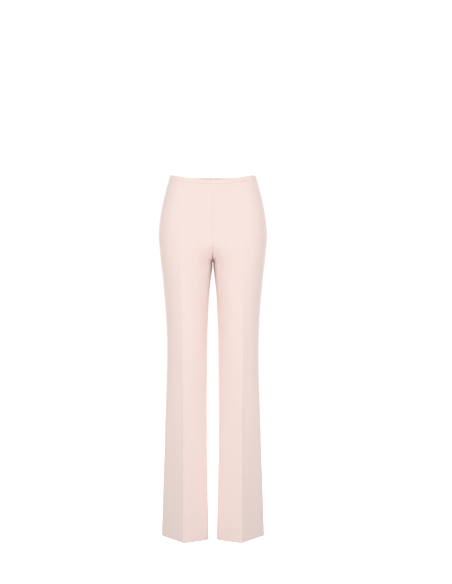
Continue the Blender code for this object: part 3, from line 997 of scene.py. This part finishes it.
def tape_material(finish):
    """Woven zip tape: fine herringbone ribs along its length, with painted shade in the
    grooves between them.
    """
    recipe = Recipe("zip_tape")
    place = recipe.node("ShaderNodeUVMap", {"uv_map": "cloth"})
    yarn = recipe.scaled(place, IN_MM)
    run, fall = recipe.parts(yarn)
    zigzag = (run * TAPE_ZIGZAG).sine() * TAPE_ZIGZAG_HEIGHT
    ribs = (fall * TAPE_RIBS + zigzag).ripple()
    fuzz = recipe.noise(yarn, *TAPE_GRAIN)
    # The grooves between the ribs are darker: painted shade, not a dye.
    tint = recipe.mixed(
        ribs * 0.7 + fuzz * 0.3, solid(finish.tape_deep_tone_and_rib_shade), solid(finish.tape)
    )
    height = ribs * 0.8 + fuzz * 0.2
    return recipe.finish(
        Base_Color=tint,
        Roughness=0.82 + fuzz * 0.1,
        Normal=recipe.bump(height, *TAPE_RELIEF),
        Specular_IOR_Level=0.3,
        Sheen_Weight=0.15,
    )


def coil_material(finish):
    """Moulded nylon of the zip's teeth: satin, slightly uneven."""
    recipe = Recipe("zip_coil")
    place = recipe.node("ShaderNodeTexCoord", output=3)
    cloud = recipe.noise(place, *COIL_GRAIN)
    # On the coil the tape's deeper colour is only a random tone of the nylon.
    tint = recipe.mixed(cloud, solid(finish.tape_deep_tone_and_rib_shade), solid(finish.tape))
    return recipe.finish(
        Base_Color=tint,
        Roughness=0.35 + cloud * 0.15,
        Normal=recipe.bump(cloud, *COIL_RELIEF),
    )


def enamel_material(finish):
    """Blush enamel over metal: a smooth coat, scuffed to a duller bloom here and there."""
    recipe = Recipe("zip_enamel")
    place = recipe.node("ShaderNodeTexCoord", output=3)
    bloom = recipe.noise(place, *BLOOM_GRAIN)
    specks = recipe.noise(place, *SPECK_GRAIN)
    scuffed = specks.clamped(*SCUFFS_START)
    tint = recipe.mixed(bloom, solid(finish.enamel_deep), solid(finish.enamel))
    tint = recipe.mixed(scuffed * 0.35, tint, solid(SCUFF_COLOUR))
    return recipe.finish(
        Base_Color=tint,
        Metallic=0.55 + scuffed * 0.3,
        Roughness=0.26 + bloom * 0.12 + scuffed * 0.12,
        Coat_Weight=0.35 - scuffed * 0.2,
        Normal=recipe.bump(specks * 0.5 + bloom * 0.5, *ENAMEL_RELIEF),
    )


def floor_material(stage):
    """Plain pale floor, lit from within so that it is as white as the air around it."""
    recipe = Recipe("pale_floor")
    place = recipe.node("ShaderNodeTexCoord", output=3)
    cloud = recipe.noise(place, *FLOOR_GRAIN)
    tint = recipe.mixed(cloud, *map(solid, FLOOR_COLOURS))
    return recipe.finish(
        Base_Color=tint,
        Roughness=0.9,
        Specular_IOR_Level=0.1,
        Emission_Color=WHITE,
        Emission_Strength=stage.floor_glow,
    )


def shared(name, make, finish):
    """The named material, made on its first use."""
    return bpy.data.materials.get(name) or make(finish)


# ---------------------------------------------------------------- zip parts


def tape_middle():
    """The left zip tape, laid behind the centre back seam's allowance.

    Its columns run from its outer selvedge to the slot, its rows down to the zip's end.
    """
    fine_to, fine_rows = TAPE_FINE_ROWS
    coarse_from, coarse_rows = TAPE_COARSE_ROWS
    fine = np.linspace(TAPE_TOP, fine_to, fine_rows)
    drops = np.append(fine, np.linspace(coarse_from, ZIP_END_DROP, coarse_rows))
    offsets = np.linspace(TAPE_WIDTH, ZIP_SLOT / 2, TAPE_COLUMNS)

    def stations(at):
        """Distances of the columns along each outline."""
        return at.back_edge[:, None] - offsets

    _, at, points, normal = outer_face(drops, stations, False)
    under_band = 1 - smoothstep(drops, BAND_HEIGHT, BAND_EASES_BY)
    depth = TAPE_DEPTH + TAPE_BAND_DEPTH * under_band
    middle = points - normal * depth[:, None, None]
    middle[..., 0] = np.maximum(middle[..., 0], ZIP_SLOT / 2)
    drop = np.broadcast_to(drops[:, None], at.shape)
    run = np.broadcast_to(-offsets, at.shape)
    return Sheet(middle, TAPE_HALF, np.stack([run, -drop], axis=2))


def coil_bar():
    """A rounded bar along X from -1 to 1: its radius is the root of 1 - x^6."""
    x = -np.cos(np.linspace(0, math.pi, BAR_RINGS))
    radius = np.sqrt(np.maximum(1 - x**6, BAR_END_SHARE))
    angle = np.linspace(0, 2 * math.pi, BAR_SIDES, endpoint=False)
    grid = np.stack(
        [
            np.broadcast_to(x[:, None], (BAR_RINGS, BAR_SIDES)),
            radius[:, None] * np.cos(angle),
            radius[:, None] * np.sin(angle),
        ],
        axis=2,
    )
    index = np.arange(BAR_RINGS * BAR_SIDES).reshape(BAR_RINGS, BAR_SIDES)
    after = np.roll(index, -1, axis=1)
    quads = np.stack([index[:-1], after[:-1], after[1:], index[1:]], axis=2)
    caps = np.stack([index[0, ::-1], index[-1]])
    return grid.reshape(-1, 3), quads.reshape(-1, 4), caps


def coil_mesh():
    """The closed coil: bars that reach over the slot from both tapes in turn.

    A bar's place is the centre back edge at its drop, moved inwards by the coil's depth
    and sideways by its reach, to the left and to the right by turns.
    """
    drops = np.arange(COIL_TOP, ZIP_END_DROP - COIL_STOPS_BEFORE, COIL_PITCH / 2)
    leg = Leg(drops)
    edge = leg.points(leg.back_edge[:, None], False)[:, 0]
    lower = Leg(drops + NEAR)
    step = lower.points(lower.back_edge[:, None], False)[:, 0] - edge
    down = unit(step * np.array([0.0, 1.0, 1.0]))
    inwards = np.stack([np.zeros(len(down)), down[:, 2], -down[:, 1]], axis=1)
    under_band = 1 - smoothstep(drops, BAND_HEIGHT, BAND_EASES_BY)
    depth = COIL_DEPTH + COIL_BAND_DEPTH * under_band
    centre = edge * np.array([0.0, 1.0, 1.0]) + inwards * depth[:, None]
    side = np.where(np.arange(len(drops)) % 2, 1.0, -1.0)
    centre[:, 0] = side * COIL_REACH
    bar, quads, caps = coil_bar()
    shape = bar * np.array(COIL_BAR)
    placed = (
        centre[:, None]
        + shape[None, :, :1] * np.array([1.0, 0.0, 0.0])
        + shape[None, :, 1:2] * inwards[:, None]
        + shape[None, :, 2:] * down[:, None]
    )
    base = np.arange(len(drops))[:, None, None] * len(bar)
    faces = (quads + base).reshape(-1, 4).tolist()
    faces += (caps + base).reshape(-1, BAR_SIDES).tolist()
    mesh = bpy.data.meshes.new("zip_coil")
    mesh.from_pydata((placed.reshape(-1, 3) * MM).tolist(), [], faces)
    mesh.shade_smooth()
    return mesh


def softened_copy(node, name, bevel, recipe):
    """A welded copy of an imported metal piece with its edges rounded by a small bevel."""
    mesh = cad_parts[node].data.copy()
    mesh.name = name
    work = bmesh.new()
    work.from_mesh(mesh)
    bmesh.ops.remove_doubles(work, verts=work.verts, dist=WELD_DISTANCE)
    bmesh.ops.dissolve_limit(
        work, angle_limit=FLAT_ANGLE, verts=work.verts, edges=work.edges
    )
    work.to_mesh(mesh)
    work.free()
    mesh.materials.clear()
    mesh.materials.append(recipe)
    mesh.shade_smooth()
    piece = add_piece(name, mesh)
    rounding = piece.modifiers.new("rounding", "BEVEL")
    rounding.width = bevel
    rounding.segments = 2
    rounding.limit_method = "ANGLE"
    rounding.angle_limit = BEVEL_ANGLE
    rounding.harden_normals = True
    return piece


# ---------------------------------------------------------------- settings


def length_setting(name, description, default):
    """A setting in metres."""
    return FloatProperty(
        name=name, description=description, default=default, unit="LENGTH"
    )


def power_setting(name, description, default):
    """A setting in watts."""
    return FloatProperty(
        name=name, description=description, default=default, unit="POWER"
    )


def colour_setting(name, description, default):
    """A setting that holds a colour."""
    return FloatVectorProperty(
        name=name, description=description, default=default, subtype="COLOR"
    )


class PANTS_PG_cloth(PropertyGroup):
    """Sizes of the cut cloth."""

    thickness: length_setting("Cloth", "Thickness of the crepe", 0.0007)
    band_thickness: length_setting(
        "Band cloth", "Thickness of one layer of the waistband", 0.0007
    )
    allowance: length_setting(
        "Allowance", "Width of the seam allowances, pressed open", 0.012
    )
    hem: length_setting("Hem", "Depth of the turned-up hem", 0.038)
    ridge: length_setting(
        "Ridge", "Height of the pinched ridge on the pressed creases", 0.0014
    )
    folds: FloatProperty(
        name="Folds", description="Strength of the soft folds", default=1.0, min=0, max=3
    )


class PANTS_PG_finish(PropertyGroup):
    """Colours of the cloth and the zip, with painted shade between the overlock loops and
    the tape's ribs.
    """

    crepe: colour_setting("Crepe", "Lighter blush", (0.86, 0.715, 0.67))
    crepe_deep: colour_setting("Crepe deep", "Deeper blush", (0.84, 0.69, 0.643))
    thread: colour_setting("Thread", "Overlock thread", (0.88, 0.76, 0.72))
    # Darker colour between the overlock loops: painted shade.
    thread_painted_shade: colour_setting(
        "Thread deep", "Between the overlock loops", (0.66, 0.51, 0.46)
    )
    tape: colour_setting("Tape", "Zip tape", (0.80, 0.64, 0.59))
    # Darker colour between the tape's ribs: painted shade; on the coil, a random deeper
    # tone.
    tape_deep_tone_and_rib_shade: colour_setting(
        "Tape deep", "Between the tape's ribs", (0.66, 0.50, 0.45)
    )
    enamel: colour_setting("Enamel", "Zip slider and pull", (0.78, 0.62, 0.57))
    enamel_deep: colour_setting("Enamel deep", "Thicker enamel", (0.70, 0.53, 0.48))


class PANTS_PG_stage(PropertyGroup):
    """The floor, the air and the lights."""

    floor_z: length_setting("Floor", "Height of the floor", -1.163)
    floor_radius: length_setting("Floor radius", "Radius of the floor", 6.0)
    floor_glow: FloatProperty(
        name="Floor glow", description="Light that the floor gives off", default=0.85
    )
    air: FloatProperty(name="Air", description="Light from all round", default=0.32)
    front_light: power_setting(
        "Front lights", "Power of each soft light before the pants", 61.5
    )
    side_light: power_setting(
        "Side lights", "Power of each soft light beside the hips", 5.5
    )
    top_light: power_setting(
        "Top light", "Power of the soft light above the pants", 14.0
    )
    back_light: power_setting(
        "Back lights", "Power of each soft light behind the pants", 50.0
    )
    lens: FloatProperty(
        name="Lens", description="Focal length", default=82.05, unit="CAMERA"
    )


# ---------------------------------------------------------------- operators


def settle(piece, node, body="garment"):
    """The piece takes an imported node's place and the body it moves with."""
    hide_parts(node)
    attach(piece, body)


def make_panels(context, front, panels):
    """Builds a left and a right panel."""
    scene = context.scene
    recipe = shared("blush_crepe", crepe_material, scene.pants_finish)
    for side, (name, node, band, folds, phase) in zip((1, -1), panels):
        sheet = panel_middle(front, folds, scene.pants_cloth, phase)
        if side < 0:
            sheet = sheet.mirrored()
        piece = sheet.build(name, recipe, side)
        settle(piece, node)
    return {"FINISHED"}


class PANTS_OT_front_panels(Operator):
    """Makes the two front panels with their creases, allowances and hems"""

    bl_idname = "pants.front_panels"
    bl_label = "Front panels"

    def execute(self, context):
        return make_panels(context, True, FRONT_PANELS)


class PANTS_OT_back_panels(Operator):
    """Makes the two back panels with their darts, creases, allowances and hems"""

    bl_idname = "pants.back_panels"
    bl_label = "Back panels"

    def execute(self, context):
        return make_panels(context, False, BACK_PANELS)


class PANTS_OT_waistband(Operator):
    """Makes the narrow waistband: a front strip and two back strips, each folded double"""

    bl_idname = "pants.waistband"
    bl_label = "Waistband"

    def execute(self, context):
        cloth = context.scene.pants_cloth
        recipe = shared("blush_crepe", crepe_material, context.scene.pants_finish)
        left = band_middle(True, cloth)
        right = left.mirrored()
        middle = np.hstack([right.middle[:, :-1], left.middle])
        run = np.hstack([right.coordinates[:, :-1], left.coordinates])
        whole = Sheet(middle, left.half, run)
        back = band_middle(False, cloth)
        for sheet, name, node, cut in (
            (whole, "band_front", "waistband_front", FRONT_BAND_CUT),
            (back, "band_back_left", "waistband_back_left", BACK_BAND_CUT),
            (back.mirrored(), "band_back_right", "waistband_back_right", BACK_BAND_CUT),
        ):
            piece = sheet.build(name, recipe)
            settle(piece, node)
        return {"FINISHED"}


class PANTS_OT_zip(Operator):
    """Makes the concealed zip: two tapes, the closed coil, the slider and its pull"""

    bl_idname = "pants.zip"
    bl_label = "Zip"

    def execute(self, context):
        finish = context.scene.pants_finish
        tape_recipe = shared("zip_tape", tape_material, finish)
        enamel = shared("zip_enamel", enamel_material, finish)
        left = tape_middle()
        for sheet, name, node in (
            (left, "tape_left", "zip_tape_left"),
            (left.mirrored(), "tape_right", "zip_tape_right"),
        ):
            piece = sheet.build(name, tape_recipe)
            settle(piece, node)
        mesh = coil_mesh()
        mesh.materials.append(shared("zip_coil", coil_material, finish))
        coil = add_piece("zip_coil", mesh)
        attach(coil, "garment")
        slider = softened_copy("zip_slider", "slider", SLIDER_BEVEL, enamel)
        settle(slider, "zip_slider")
        pull = softened_copy("zip_pull", "pull", PULL_BEVEL, enamel)
        settle(pull, "zip_pull", body="zip_pull")
        return {"FINISHED"}


class PANTS_OT_stage(Operator):
    """Makes the pale floor, the white air, the soft lights and the camera"""

    bl_idname = "pants.stage"
    bl_label = "Stage"

    def execute(self, context):
        scene = context.scene
        stage = scene.pants_stage
        self.make_floor(stage)
        self.make_air(scene, stage)
        for azimuth, distance, height, size, setting in SOFT_LIGHTS:
            power = getattr(stage, setting)
            for way in (1, -1):
                angle = math.radians(azimuth) * way
                place = (distance * math.sin(angle), -distance * math.cos(angle), height)
                self.add_light(place, (math.pi / 2, 0.0, angle), size, power)
        self.add_light(TOP_LIGHT_PLACE, (0.0, 0.0, 0.0), TOP_LIGHT_SIZE, stage.top_light)
        camera = bpy.data.cameras.new("camera")
        camera.lens = stage.lens
        camera.sensor_width = SENSOR_WIDTH
        turn = (math.pi / 2, 0.0, 0.0)
        scene.camera = self.add_holder("camera", camera, CAMERA_PLACE, turn)
        scene.view_settings.view_transform = "Standard"
        return {"FINISHED"}

    def add_holder(self, name, data, location, turn):
        """Links a light or camera as an object of the scene."""
        holder = bpy.data.objects.new(name, data)
        holder.location = location
        holder.rotation_euler = turn
        bpy.context.scene.collection.objects.link(holder)
        return holder

    def make_floor(self, stage):
        """A round disc: one fan of triangles about its middle."""
        angle = np.linspace(0, 2 * math.pi, FLOOR_CORNERS, endpoint=False)
        x = np.append(stage.floor_radius * np.cos(angle), 0.0)
        y = np.append(stage.floor_radius * np.sin(angle), 0.0)
        points = np.stack([x, y, np.full_like(x, stage.floor_z)], axis=1)
        rim = np.arange(FLOOR_CORNERS)
        fan = np.stack([rim, np.roll(rim, -1), np.full_like(rim, FLOOR_CORNERS)], axis=1)
        mesh = bpy.data.meshes.new("floor")
        mesh.from_pydata(points.tolist(), [], fan.tolist())
        mesh.materials.append(floor_material(stage))
        floor = add_piece("floor", mesh)
        floor.visible_diffuse = False
        floor.visible_glossy = False
        floor.visible_shadow = False

    def make_air(self, scene, stage):
        """Even light from all round, which itself looks pure white."""
        world = bpy.data.worlds.new("air")
        scene.world = world
        world.use_nodes = True
        nodes = world.node_tree.nodes
        links = world.node_tree.links
        seen = nodes.new("ShaderNodeLightPath")
        strength = nodes.new("ShaderNodeMapRange")
        strength.inputs["To Min"].default_value = stage.air
        strength.inputs["To Max"].default_value = WHITE_AIR
        links.new(seen.outputs["Is Camera Ray"], strength.inputs["Value"])
        background = nodes["Background"]
        background.inputs["Color"].default_value = WHITE
        links.new(strength.outputs[0], background.inputs["Strength"])

    def add_light(self, location, turn, size, power):
        """A soft light that shines straight out of its face."""
        light = bpy.data.lights.new("soft_light", "AREA")
        light.energy = power
        light.shape = "RECTANGLE"
        light.size, light.size_y = size
        self.add_holder("soft_light", light, location, turn)


class PANTS_PT_sidebar(Panel):
    """Lists the pieces and their settings"""

    bl_idname = "PANTS_PT_sidebar"
    bl_label = "Palazzo pants"
    bl_space_type = "VIEW_3D"
    bl_region_type = "UI"
    bl_category = "Palazzo pants"

    def draw(self, context):
        for group in ("pants_cloth", "pants_finish", "pants_stage"):
            settings = getattr(context.scene, group)
            box = self.layout.box()
            for name in settings.__annotations__:
                box.prop(settings, name)
        for maker in MAKERS:
            self.layout.operator(maker.bl_idname)


MAKERS = (
    PANTS_OT_stage,
    PANTS_OT_front_panels,
    PANTS_OT_back_panels,
    PANTS_OT_waistband,
    PANTS_OT_zip,
)
GROUPS = (
    (PANTS_PG_cloth, "pants_cloth"),
    (PANTS_PG_finish, "pants_finish"),
    (PANTS_PG_stage, "pants_stage"),
)


def register():
    """Adds the settings, the operators and the panel to the program."""
    for group, name in GROUPS:
        bpy.utils.register_class(group)
        setattr(bpy.types.Scene, name, PointerProperty(type=group))
    for maker in MAKERS:
        bpy.utils.register_class(maker)
    bpy.utils.register_class(PANTS_PT_sidebar)


def unregister():
    """Takes them out again."""
    bpy.utils.unregister_class(PANTS_PT_sidebar)
    for maker in reversed(MAKERS):
        bpy.utils.unregister_class(maker)
    for group, name in reversed(GROUPS):
        delattr(bpy.types.Scene, name)
        bpy.utils.unregister_class(group)


def main():
    register()
    bpy.ops.pants.stage()
    bpy.ops.pants.front_panels()
    bpy.ops.pants.back_panels()
    bpy.ops.pants.waistband()
    bpy.ops.pants.zip()


if __name__ == "__main__":
    main()
